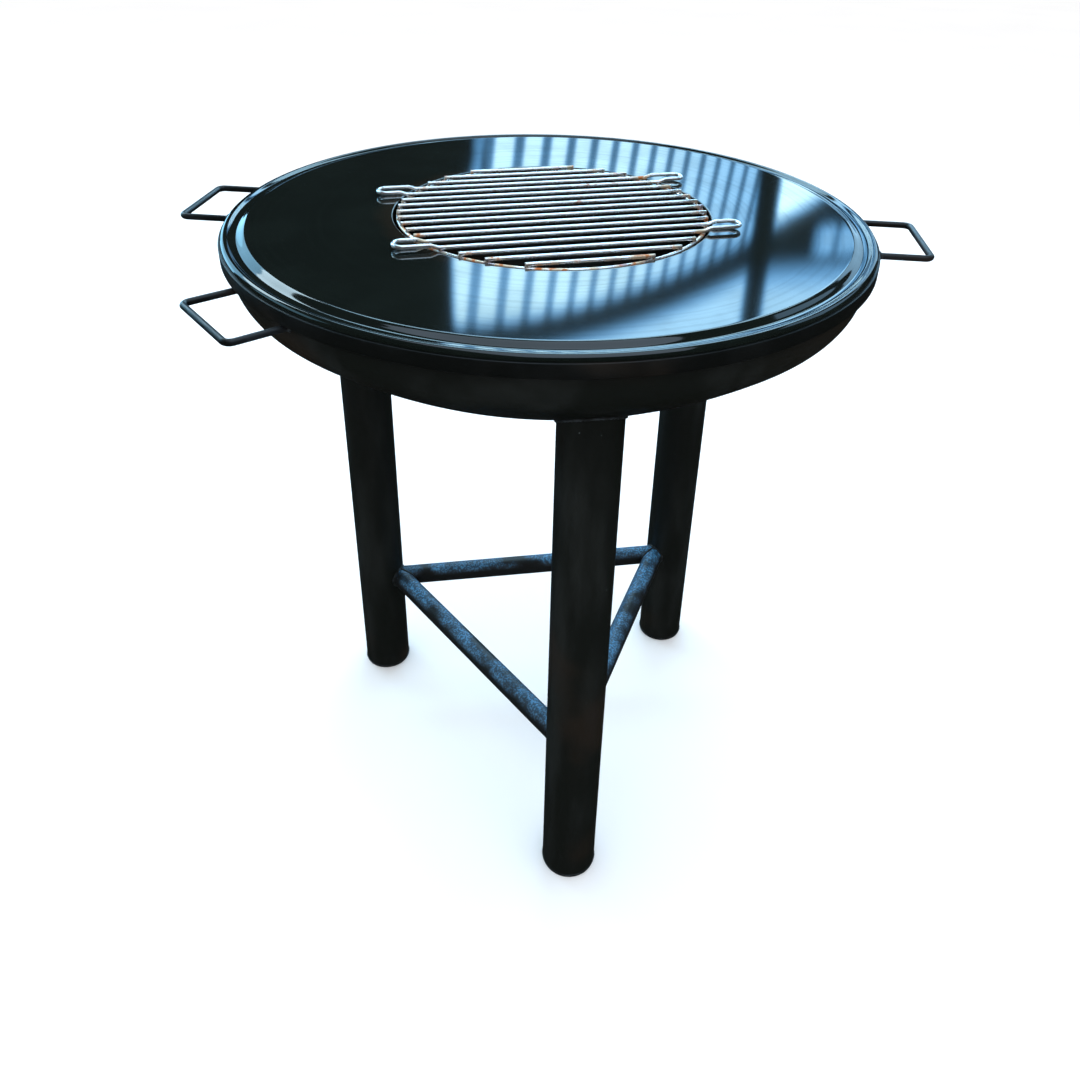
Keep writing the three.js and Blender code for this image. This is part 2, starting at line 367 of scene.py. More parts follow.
def hand_over(piece: Piece, body: Body, slot: Slot, finish: "Finish", *nodes: str) -> Piece:
    """Dresses a finished piece and gives it to its body.

    Args:
        piece: The finished mesh.
        body: The body that it rides on.
        slot: The material slot that it belongs to. Not used.
        finish: Its finish.
        nodes: The plain solids that it stands for.

    Returns:
        The same piece.
    """
    piece.data.materials.clear()
    piece.data.materials.append(finish.material())
    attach(piece, body.value)
    if nodes:
        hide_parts(*nodes)
    log.info("%s: %d faces on %s", piece.name, len(piece.data.polygons), body.value)
    return piece


# Finishes --------------------------------------------------------------------------------------


class Term:
    """A number that varies over a surface, usable in ordinary arithmetic."""

    def __init__(self, graph: "Tree", socket: bpy.types.NodeSocket) -> None:
        """Wraps one output socket of a graph."""
        self.graph = graph
        self.socket = socket

    def _math(self, operation: str, *values: Any) -> "Term":
        """Adds one Math node on these values."""
        node = self.graph.node("ShaderNodeMath", {"operation": operation}, dict(enumerate(values)))
        return Term(self.graph, node.outputs[0])

    def __add__(self, other: Any) -> "Term":
        """This plus other."""
        return self._math("ADD", self, other)

    def __radd__(self, other: Any) -> "Term":
        """Other plus this."""
        return self._math("ADD", other, self)

    def __sub__(self, other: Any) -> "Term":
        """This minus other."""
        return self._math("SUBTRACT", self, other)

    def __rsub__(self, other: Any) -> "Term":
        """Other minus this."""
        return self._math("SUBTRACT", other, self)

    def __mul__(self, other: Any) -> "Term":
        """This times other."""
        return self._math("MULTIPLY", self, other)

    def __rmul__(self, other: Any) -> "Term":
        """Other times this."""
        return self._math("MULTIPLY", other, self)

    def __truediv__(self, other: Any) -> "Term":
        """This divided by other."""
        return self._math("DIVIDE", self, other)

    def __pow__(self, other: Any) -> "Term":
        """This to a power."""
        return self._math("POWER", self, other)

    def cosine(self) -> "Term":
        """The cosine of this."""
        return self._math("COSINE", self)

    def rising(self, low: float, high: float) -> "Term":
        """Goes smoothly from 0 at low to 1 at high.

        Args:
            low: The value that gives 0.
            high: The value that gives 1.

        Returns:
            The new number.
        """
        sockets = {"Value": self, "From Min": low, "From Max": high}
        node = self.graph.node("ShaderNodeMapRange", {"interpolation_type": "SMOOTHSTEP"}, sockets)
        return Term(self.graph, node.outputs[0])

    def within(self, low: float, high: float, soft: float) -> "Term":
        """Is 1 between two values and 0 outside them.

        Args:
            low: The lower end.
            high: The upper end.
            soft: Half the width of each soft edge.

        Returns:
            The new number.
        """
        return self.rising(low - soft, low + soft) * (1 - self.rising(high - soft, high + soft))


def opaque(value: Any) -> Any:
    """A colour of three numbers with its fourth, and anything else as it is."""
    return (*value, 1) if isinstance(value, tuple) and len(value) == 3 else value


class Tree:
    """Builds the nodes of one node tree."""

    def __init__(self, tree: bpy.types.NodeTree) -> None:
        """Empties the tree."""
        self.tree = tree
        tree.nodes.clear()

    def node(self, kind: str, settings: dict | None = None, sockets: dict | None = None) -> bpy.types.Node:
        """Adds one node.

        Args:
            kind: The node's type.
            settings: Its settings, which are set first.
            sockets: Values or links for its input sockets, by name or number.

        Returns:
            The node.
        """
        node = self.tree.nodes.new(kind)
        for name, value in (settings or {}).items():
            setattr(node, name, value)
        for key, value in (sockets or {}).items():
            self.feed(node.inputs[key], value)
        return node

    def feed(self, socket: bpy.types.NodeSocket, value: Any) -> None:
        """Links or sets one input socket."""
        if isinstance(value, Term):
            value = value.socket
        if isinstance(value, bpy.types.NodeSocket):
            self.tree.links.new(value, socket)
        else:
            socket.default_value = value

    def parted(self, vector: bpy.types.NodeSocket) -> list[Term]:
        """The three numbers of a vector."""
        return [Term(self, socket) for socket in self.node("ShaderNodeSeparateXYZ", {}, {0: vector}).outputs]

    def mixed(self, mask: Term, low: Any, high: Any) -> bpy.types.NodeSocket:
        """Goes from one colour to another.

        Args:
            mask: 0 for the first colour and 1 for the second.
            low: The first colour.
            high: The second colour.

        Returns:
            The mixed colour.
        """
        first, second = (opaque(end) for end in (low, high))
        node = self.node("ShaderNodeMix", {"data_type": "RGBA"}, {0: mask, 6: first, 7: second})
        return node.outputs[2]


class Graph(Tree):
    """Builds the nodes of one material."""

    def __init__(self, name: str) -> None:
        """Starts an empty material with a shader and an output."""
        self.material = bpy.data.materials.new(name)
        self.material.use_nodes = True
        super().__init__(self.material.node_tree)
        self.shader = self.node("ShaderNodeBsdfPrincipled")
        self.node("ShaderNodeOutputMaterial", {}, {"Surface": self.shader.outputs[0]})
        self.place = self.node("ShaderNodeTexCoord").outputs["Object"]
        self.x, self.y, self.z = self.parted(self.place)

    def stretched(self, stretch: Sequence[float]) -> bpy.types.NodeSocket:
        """The place on the surface, scaled along each axis."""
        return self.node("ShaderNodeMapping", {}, {"Vector": self.place, "Scale": stretch}).outputs[0]

    def noise(self, size: float, detail: float = 2.0, stretch: Sequence[float] = (1, 1, 1)) -> Term:
        """Soft noise from 0 to 1.

        Args:
            size: The size of one lump, in metres.
            detail: The number of finer layers.
            stretch: How much finer the noise is along each axis.

        Returns:
            The noise.
        """
        sockets = {"Vector": self.stretched(stretch), "Scale": 1 / size, "Detail": detail}
        return Term(self, self.node("ShaderNodeTexNoise", {}, sockets).outputs[0])

    def specks(self, spacing: float, size: float, share: float) -> Term:
        """Scattered round specks, 1 on a speck and 0 off it.

        Args:
            spacing: The distance between places that may hold a speck.
            size: The radius of a speck.
            share: The share of the places that hold one.

        Returns:
            The specks.
        """
        cells = self.node("ShaderNodeTexVoronoi", {}, {"Vector": self.place, "Scale": 1 / spacing})
        chance = self.node("ShaderNodeSeparateColor", {}, {0: cells.outputs["Color"]})
        chosen = 1 - Term(self, chance.outputs[0]).rising(share * 0.7, share)
        edge = size / spacing
        return (1 - Term(self, cells.outputs["Distance"]).rising(0.4 * edge, edge)) * chosen

    def bump(self, height: Term, depth: float) -> bpy.types.NodeSocket:
        """A bumped normal, from a height of 0 to 1 and its depth in metres."""
        return self.node("ShaderNodeBump", {}, {"Distance": depth, "Height": height}).outputs[0]

    def finish(self, **sockets: Any) -> bpy.types.Material:
        """Feeds the shader's sockets and gives the material.

        Args:
            sockets: Values or links by socket name, with spaces written as underscores.

        Returns:
            The material.
        """
        for name, value in sockets.items():
            self.feed(self.shader.inputs[name.replace("_", " ")], opaque(value))
        return self.material


class Finish:
    """A finish that is mixed once and shared by all the pieces that wear it."""

    _mixed: dict[Any, bpy.types.Material] = {}

    def material(self) -> bpy.types.Material:
        """The finish's material, built when it is first asked for."""
        if self not in self._mixed:
            self._mixed[self] = self.mix()
        return self._mixed[self]

    def mix(self) -> bpy.types.Material:
        """Builds the material."""
        raise NotImplementedError


@dataclass(frozen=True)
class BlackPaint(Finish):
    """Satin heat-proof black paint with a fine texture, dust, specks and scuffs."""

    name: str
    tone: Colour = (0.0040, 0.0058, 0.0044)
    dusty: Colour = (0.0105, 0.0140, 0.0120)
    warm: Colour = (0.0160, 0.0098, 0.0052)
    warmer_towards_x: float = 0.0
    speck: Colour = (0.17, 0.21, 0.21)
    streaks: tuple[float, float, float] = (1.0, 1.0, 1.0)
    roughness: float = 0.36
    grain: float = 1.1 * MM
    grain_depth: float = 0.10 * MM
    dents: float = 0.35 * MM

    def mix(self) -> bpy.types.Material:
        """Builds the material."""
        graph = Graph(self.name)
        cloud = graph.noise(60 * MM, 4, self.streaks)
        warmth = graph.noise(210 * MM, 3)
        dust = graph.noise(5 * MM, 3, self.streaks)
        specks = graph.specks(21 * MM, 0.9 * MM, 0.22) + graph.specks(9 * MM, 0.35 * MM, 0.3)
        base = graph.mixed(cloud.rising(0.42, 0.72) * (0.4 + 0.6 * dust), self.tone, self.dusty)
        # Warm brown tint in random patches, and growing stronger towards +X where warmer_towards_x is set.
        brown = (warmth.rising(0.50, 0.68) + self.warmer_towards_x * graph.x.rising(0.05, 0.35)).rising(0, 1)
        base = graph.mixed(brown * 0.8, base, self.warm)
        base = graph.mixed(specks.rising(0.0, 1.0) * 0.6, base, self.speck)
        relief = graph.noise(self.grain, 3)
        height = relief * self.grain_depth + graph.noise(45 * MM, 2) * self.dents
        return graph.finish(
            Base_Color=base,
            Roughness=self.roughness + 0.20 * cloud.rising(0.35, 0.75) + 0.10 * relief,
            Normal=graph.bump(height / MM, MM),
            Specular_IOR_Level=0.42,
        )


@dataclass(frozen=True)
class WornPaintAndSkySheen(Finish):
    """Black paint on the low bars, with scuffs and dust along their top side, and a painted blue sky
    reflection on that side.
    """

    name: str
    height: float
    radius: float
    tone: Colour = (0.0060, 0.0078, 0.0085)
    # These two blue tones are a painted sky reflection laid over the real scuffs and dust on the bars' tops.
    scuff_and_sky_sheen: Colour = (0.050, 0.210, 0.400)
    chalk_and_sky_glint: Colour = (0.16, 0.38, 0.56)

    def mix(self) -> bpy.types.Material:
        """Builds the material."""
        graph = Graph(self.name)
        top_side_dust_and_sheen = ((graph.z - self.height) / self.radius).rising(0.25, 0.95)
        scuffs = graph.noise(3.2 * MM, 4).rising(0.46, 0.60)
        patches = graph.noise(48 * MM, 3).rising(0.32, 0.54)
        # The top-side mask carries both wear and a painted highlight: the blue scuff colour and the pale-blue
        # flecks stand in for the sky mirrored on the bars' tops.
        wear_and_sheen = top_side_dust_and_sheen * patches * (0.25 + 0.75 * scuffs)
        dust_flecks_and_glints = graph.specks(6 * MM, 0.8 * MM, 0.45) * top_side_dust_and_sheen
        base = graph.mixed(wear_and_sheen, self.tone, self.scuff_and_sky_sheen)
        base = graph.mixed(dust_flecks_and_glints * 0.7, base, self.chalk_and_sky_glint)
        relief = graph.noise(2.4 * MM, 4)
        return graph.finish(
            Base_Color=base,
            Roughness=0.34 + 0.22 * relief + 0.10 * wear_and_sheen,
            Normal=graph.bump(relief, 0.45 * MM),
        )


@dataclass(frozen=True)
class SeasonedSteel(Finish):
    """Steel under a hard glossy film of burnt oil, with wiping marks round its centre."""

    name: str
    tone: Colour = (0.0034, 0.0050, 0.0043)
    haze: Colour = (0.0046, 0.0067, 0.0058)
    straw: Colour = (0.030, 0.017, 0.009)
    edge: float = 0.206
    coat: float = 1.0
    coat_roughness: float = 0.06
    coat_ior: float = 1.6

    def mix(self) -> bpy.types.Material:
        """Builds the material."""
        graph = Graph(self.name)
        radius = (graph.x * graph.x + graph.y * graph.y) ** 0.5
        swirl = graph.node(
            "ShaderNodeTexNoise",
            {"noise_dimensions": "1D"},
            {"W": radius / (7 * MM) + graph.noise(120 * MM, 2) * 1.5, "Scale": 1.0, "Detail": 3.0},
        )
        rings = Term(graph, swirl.outputs[0])
        cloud = graph.noise(90 * MM, 4)
        heated = 1 - (radius + graph.noise(25 * MM, 3) * 0.02).rising(self.edge + 0.008, self.edge + 0.034)
        base = graph.mixed(cloud.rising(0.40, 0.68), self.tone, self.haze)
        base = graph.mixed(rings.rising(0.48, 0.70) * 0.5, base, self.haze)
        base = graph.mixed(heated * 0.2, base, self.straw)
        specks = graph.specks(34 * MM, 0.7 * MM, 0.25)
        base = graph.mixed(specks * 0.5, base, (0.20, 0.22, 0.22))
        peel = graph.noise(2.8 * MM, 2) * 1.9 + graph.noise(14 * MM, 1) * 1.6
        waves = graph.noise(150 * MM, 0) * 8.0
        smears = 1 - 0.14 * cloud.rising(0.40, 0.65) - 0.08 * rings.rising(0.45, 0.70)
        return graph.finish(
            Base_Color=base,
            Roughness=0.4,
            Normal=graph.bump(peel + waves, 0.006 * MM),
            Coat_Weight=smears * self.coat,
            Coat_Roughness=self.coat_roughness,
            Coat_IOR=self.coat_ior,
            Specular_IOR_Level=0.0,
        )


@dataclass(frozen=True)
class BrightWire(Finish):
    """Drawn steel wire, bright along its length and tinted by heat near the ring."""

    name: str
    tone: Colour = (0.96, 0.94, 0.93)
    smoky: Colour = (0.50, 0.48, 0.50)
    straw: Colour = (0.78, 0.52, 0.26)
    rust: Colour = (0.52, 0.17, 0.05)
    violet: Colour = (0.42, 0.32, 0.50)
    ring: float = 0.198

    def mix(self) -> bpy.types.Material:
        """Builds the material."""
        graph = Graph(self.name)
        radius = (graph.x * graph.x + graph.y * graph.y) ** 0.5
        patch = graph.noise(19 * MM, 3)
        inner = radius.rising(self.ring - 0.020, self.ring - 0.002)
        near = inner * (1 - radius.rising(self.ring + 0.004, self.ring + 0.012))
        tint = near * patch.rising(0.44, 0.60)
        burnt = tint * graph.noise(9 * MM, 2).rising(0.50, 0.62)
        stray = graph.noise(30 * MM, 3, (1, 2, 1)).rising(0.66, 0.73) * 0.6
        base = graph.mixed(graph.noise(42 * MM, 3).rising(0.50, 0.72) * 0.4, self.tone, self.smoky)
        base = graph.mixed(tint * 0.7, base, self.straw)
        base = graph.mixed((burnt + stray).rising(0, 1), base, self.rust)
        base = graph.mixed(near * graph.noise(26 * MM, 2).rising(0.60, 0.72) * 0.5, base, self.violet)
        grain = graph.noise(0.5 * MM, 3, (0.08, 1, 1))
        return graph.finish(
            Base_Color=base,
            Metallic=0.92 - 0.45 * burnt,
            Roughness=0.16 + 0.20 * tint + 0.10 * patch.rising(0.4, 0.7),
            Normal=graph.bump(grain, 0.03 * MM),
        )


@dataclass(frozen=True)
class WeldMetal(Finish):
    """A rippled weld bead: bare and burnt on the grate, or painted over."""

    name: str
    tone: Colour
    burnt: Colour
    metallic: float
    roughness: float

    def mix(self) -> bpy.types.Material:
        """Builds the material."""
        graph = Graph(self.name)
        patch = graph.noise(6 * MM, 3)
        scale = graph.noise(1.2 * MM, 4)
        return graph.finish(
            Base_Color=graph.mixed(patch.rising(0.42, 0.62), self.tone, self.burnt),
            Metallic=self.metallic,
            Roughness=self.roughness + 0.2 * scale,
            Normal=graph.bump(scale, 0.35 * MM),
        )


BOWL_PAINT = BlackPaint("bowl_paint", warmer_towards_x=0.8)
LEG_PAINT = BlackPaint("leg_paint", streaks=(1.6, 1.6, 0.35), roughness=0.40, dents=0.6 * MM)
HANDLE_PAINT = BlackPaint(
    "handle_paint", (0.0024, 0.0032, 0.0034), (0.008, 0.013, 0.018), roughness=0.22, grain=0.8 * MM
)
SKIRT_PAINT = BlackPaint("skirt_paint", (0.0016, 0.0026, 0.0024), (0.0040, 0.0060, 0.0058), roughness=0.33)
GRIDDLE_FILM = SeasonedSteel("griddle_film")
TAB_FILM = SeasonedSteel("tab_film", coat=0.3, coat_roughness=0.25)
GRATE_WIRE = BrightWire("grate_wire")
PAINTED_WELD = WeldMetal("painted_weld", (0.007, 0.009, 0.010), (0.020, 0.026, 0.030), 0.0, 0.34)
BARE_WELD = WeldMetal("bare_weld", (0.50, 0.42, 0.34), (0.30, 0.13, 0.05), 0.8, 0.28)


# Stand -----------------------------------------------------------------------------------------


@dataclass
class FireBowl:
    """The dished bowl with its straight flange."""

    radius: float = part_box("fire_bowl")[1].x
    rim_top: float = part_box("fire_bowl")[1].z
    bottom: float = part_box("fire_bowl")[0].z
    flange_bottom: float = 855 * MM
    wall: float = 4 * MM
    crown: float = 597 * MM
    knuckle: float = 57 * MM
    edge_rounding: float = 1.1 * MM
    facets: int = 240

    @property
    def crown_centre(self) -> float:
        """The height of the middle of the bowl's shallow curve."""
        return self.bottom + self.crown

    def height(self, radius: float) -> float:
        """The height of the outer skin at a radius within its shallow curve."""
        return self.crown_centre - math.sqrt(self.crown**2 - radius**2)

    def dish(self, inset: float) -> list[Vector]:
        """One skin of the dish, from the axis out to the flange.

        Args:
            inset: How far the skin lies inside the outer one.

        Returns:
            The points of the skin.
        """
        down = -math.pi / 2
        knuckle_centre = Vector((self.radius - self.knuckle, 0, self.flange_bottom))
        tangent = math.asin(knuckle_centre.x / (self.crown - self.knuckle))
        crown = arc(Vector((0, 0, self.crown_centre)), self.crown - inset, down, down + tangent, 26)
        knuckle = arc(knuckle_centre, self.knuckle - inset, down + tangent, 0, 14)
        crown[0].x = 0
        return crown + knuckle[1:]

    def outline(self) -> list[Vector]:
        """The whole section of the bowl, counter-clockwise from the axis."""
        rim = [Vector((radius, 0, self.rim_top)) for radius in (self.radius, self.radius - self.wall)]
        return self.dish(0) + rim + self.dish(self.wall)[::-1]

    def build(self) -> Piece:
        """Spins the bowl, rounds its edges and paints it.

        Returns:
            The bowl.
        """
        shell = turned("bowl_shell", self.outline(), self.facets)
        soften(shell, self.edge_rounding)
        return hand_over(shell, Body.STAND, Slot.PAINT, BOWL_PAINT, "fire_bowl")


@dataclass
class Leg:
    """One upright pipe with its foot disc and the weld beads at both ends."""

    side: str
    bowl: FireBowl
    wall: float = 3.2 * MM
    clearance: float = 0.3 * MM
    top_bead: float = 2.2 * MM
    foot_bead: float = 0.9 * MM
    foot_rounding: float = 0.9 * MM
    facets: int = 96
    centre: Vector = field(init=False)
    radius: float = field(init=False)
    foot_top: float = field(init=False)

    def __post_init__(self) -> None:
        """Takes the leg's place and size from its foot disc."""
        low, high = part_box(f"foot_disc_{self.side}")
        self.centre = (low + high) / 2
        self.radius = (high.x - low.x) / 2
        self.foot_top = high.z

    def off_axis(self, point: Vector) -> float:
        """The distance of a point from the leg's axis."""
        return math.hypot(point.x - self.centre.x, point.y - self.centre.y)

    def coped(self, point: Vector) -> Vector:
        """The point of the pipe's top that meets the bowl over this one."""
        under = self.bowl.height(math.hypot(point.x, point.y))
        return Vector((point.x, point.y, under - self.clearance))

    def pipe(self) -> Piece:
        """Draws the pipe up from its foot, copes its top to the bowl and gives it its wall.

        Returns:
            The pipe.
        """
        foot = self.foot_top + self.clearance
        waist = self.bowl.bottom - self.radius
        place = Vector((self.centre.x, self.centre.y, foot))
        pipe = circle(f"leg_pipe_{self.side}", self.facets, self.radius, place)
        with editing(pipe):
            bpy.ops.mesh.extrude_region_move(TRANSFORM_OT_translate={"value": (0, 0, waist - foot)})
            bpy.ops.mesh.extrude_region_move(TRANSFORM_OT_translate={"value": (0, 0, 2 * self.radius)})
            bpy.ops.mesh.select_all(action="SELECT")
            bpy.ops.mesh.normals_make_consistent(inside=False)
        apply_modifier(pipe, "SOLIDIFY", thickness=self.wall, offset=-1.0)
        place_vertices(pipe, lambda point: self.coped(point) if point.z > waist + WELD_LIMIT else point)
        return pipe

    def build(self) -> None:
        """Makes the pipe, its foot and its beads."""
        pipe = self.pipe()
        rim = self.radius - self.wall / 2
        at_top: Rule = lambda p: p.z > self.bowl.bottom - self.wall and self.off_axis(p) > rim
        at_foot: Rule = lambda p: p.z < self.foot_top + self.wall and self.off_axis(p) > rim
        ends = (("top", at_top, self.top_bead), ("foot", at_foot, self.foot_bead))
        beads = [weld_along(f"leg_{end}_bead_{self.side}", pipe, rule, size) for end, rule, size in ends]
        smooth(pipe)
        hand_over(pipe, Body.STAND, Slot.PAINT, LEG_PAINT, f"leg_{self.side}")
        for bead in beads:
            hand_over(bead, Body.STAND, Slot.PAINT, PAINTED_WELD)
        hand_over(self.foot(), Body.STAND, Slot.PAINT, LEG_PAINT, f"foot_disc_{self.side}")

    def foot(self) -> Piece:
        """Makes the disc that closes the pipe.

        Returns:
            The disc.
        """
        place = Vector((self.centre.x, self.centre.y, 0))
        disc = circle(f"foot_cap_{self.side}", self.facets, self.radius, place, fill_type="NGON")
        with editing(disc):
            bpy.ops.mesh.extrude_region_move(TRANSFORM_OT_translate={"value": (0, 0, self.foot_top)})
        close_up(disc)
        soften(disc, self.foot_rounding)
        return disc


@dataclass
class Brace:
    """One low bar of the triangle, mitred to its neighbours and coped to two legs."""

    name: str
    start: Leg
    end: Leg
    corner: float = 265 * MM
    clearance: float = 0.3 * MM
    bead: float = 2.0 * MM
    facets: int = 64
    height: float = field(init=False)
    radius: float = field(init=False)

    def __post_init__(self) -> None:
        """Takes the bar's height and size from its solid."""
        low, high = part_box(f"brace_{self.name}")
        self.height = (low.z + high.z) / 2
        self.radius = (high.z - low.z) / 2

    def end_point(self, leg: Leg) -> Vector:
        """Where the bar's centre line meets its neighbour's."""
        flat = Vector((leg.centre.x, leg.centre.y, 0)).normalized()
        return flat * self.corner + UP * self.height

    def reach(self, line: Vector, heading: Vector, leg: Leg) -> float:
        """How far a line of the bar's skin runs before it meets the leg or the mitre.

        Args:
            line: A point of the line, at the middle of the bar.
            heading: The line's direction, towards the leg.
            leg: The leg at that end.

        Returns:
            The distance.
        """
        outward = Vector((leg.centre.x, leg.centre.y, 0)).normalized()
        across = outward.cross(UP)
        to_mitre = -line.dot(across) / heading.dot(across)
        offset = line - Vector((leg.centre.x, leg.centre.y, line.z))
        half = offset.dot(heading)
        surplus = half**2 - offset.length_squared + (leg.radius + self.clearance) ** 2
        to_leg = -half - math.sqrt(surplus) if surplus > 0 else math.inf
        return min(to_mitre - self.clearance, to_leg)

    def build(self) -> None:
        """Draws the bar between its two ends and lays the beads at its ends."""
        first, last = self.end_point(self.start), self.end_point(self.end)
        middle = (first + last) / 2
        heading = (last - first).normalized()
        half = (last - first).length / 2
        bar = bent_bar(f"brace_bar_{self.name}", [first, last], self.radius, 0, self.facets)

        def fitted(point: Vector) -> Vector:
            """Puts a point of the bar's end on the leg or the mitre."""
            along = (point - middle).dot(heading)
            line = point - heading * along
            if along > 0:
                return line + heading * self.reach(line, heading, self.end)
            return line - heading * self.reach(line, -heading, self.start)

        place_vertices(bar, fitted)
        ends: tuple[Rule, Rule] = (
            lambda p: (p - middle).dot(heading) > half / 2,
            lambda p: (p - middle).dot(heading) < -half / 2,
        )
        beads = [weld_along(f"{bar.name}_bead_{i}", bar, rule, self.bead) for i, rule in enumerate(ends)]
        smooth(bar)
        # brace paint with a painted blue sky reflection along the bars' tops, besides real wear and dust
        paint = WornPaintAndSkySheen("brace_paint", self.height, self.radius)
        hand_over(bar, Body.STAND, Slot.PAINT, paint, f"brace_{self.name}")
        joined = join(beads, f"brace_bead_{self.name}")
        hand_over(joined, Body.STAND, Slot.PAINT, PAINTED_WELD)


@dataclass
class Handle:
    """A carrying handle of round bar, bent to a square U, with a flared weld at each root."""

    kind: str
    side: str
    angle: float
    seat: float
    reach: float
    body: Body
    span: float = 122 * MM
    bend: float = 9 * MM
    sink: float = 1.5 * MM
    flare: float = 2.2 * MM
    radius: float = 4 * MM
    height: float = field(init=False)

    def __post_init__(self) -> None:
        """Takes the handle's height from its solid."""
        low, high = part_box(f"{self.kind}_handle_{self.side}")
        self.height = (low.z + high.z) / 2

    def root(self, offset: float) -> float:
        """How far out the wall is at a distance to one side of the handle's middle."""
        return math.sqrt(self.seat**2 - offset**2) - self.sink

    def weld(self, index: int, offset: float) -> Piece:
        """Makes the flared weld where one end of the bar meets the wall.

        Args:
            index: The end's number.
            offset: The end's distance to the side of the handle's middle.

        Returns:
            The weld.
        """
        wide = self.radius + self.flare
        tall = self.flare * 1.6
        angles = [math.pi / 2 * i / 6 for i in range(7)]
        fillet = [Vector((wide - self.flare * math.sin(t), 0, tall * (1 - math.cos(t)))) for t in angles]
        skirt = [Vector((0, 0, -self.flare)), Vector((wide, 0, -self.flare))]
        weld = turned(f"weld_{index}", skirt + fillet + [Vector((0, 0, tall))], 28)
        ripple(weld, 4 * MM, 0.7 * MM)
        weld.rotation_euler = (0, math.pi / 2, 0)
        weld.location = (self.root(offset) + self.sink, offset, self.height)
        settle(weld)
        return weld

    def build(self) -> None:
        """Bends the bar, adds its welds and turns them to the handle's place."""
        half = self.span / 2
        corners = [(self.root(half), -half), (self.reach, -half), (self.reach, half), (self.root(half), half)]
        points = [Vector((x, y, self.height)) for x, y in corners]
        grip = bent_bar(f"{self.kind}_grip_{self.side}", points, self.radius, self.bend, 28)
        ripple(grip, 30 * MM, 0.5 * MM)
        roots = [self.weld(i, y) for i, y in enumerate((-half, half))]
        welds = join(roots, f"{self.kind}_grip_weld_{self.side}")
        for piece in (grip, welds):
            smooth(piece)
            piece.rotation_euler.z = self.angle
            settle(piece)
        node = f"{self.kind}_handle_{self.side}"
        hand_over(grip, self.body, Slot.PAINT, HANDLE_PAINT, node)
        hand_over(welds, self.body, Slot.PAINT, PAINTED_WELD)


@dataclass
class Stand:
    """The bowl, its legs, braces and handles: everything that stays on the ground."""

    handle_angle: float = math.radians(210)
    handle_reach: float = 464 * MM

    def build(self) -> None:
        """Builds every piece of the stand."""
        bowl = FireBowl()
        bowl.build()
        front, left, right = (Leg(side, bowl) for side in ("front", "left", "right"))
        for leg in (front, left, right):
            leg.build()
        for name, start, end in (("back", right, left), ("left", left, front), ("right", front, right)):
            Brace(name, start, end).build()
        for side, angle in (("left", self.handle_angle), ("right", self.handle_angle - math.pi)):
            Handle("bowl", side, angle, bowl.radius, self.handle_reach, Body.STAND).build()


# Griddle ---------------------------------------------------------------------------------------


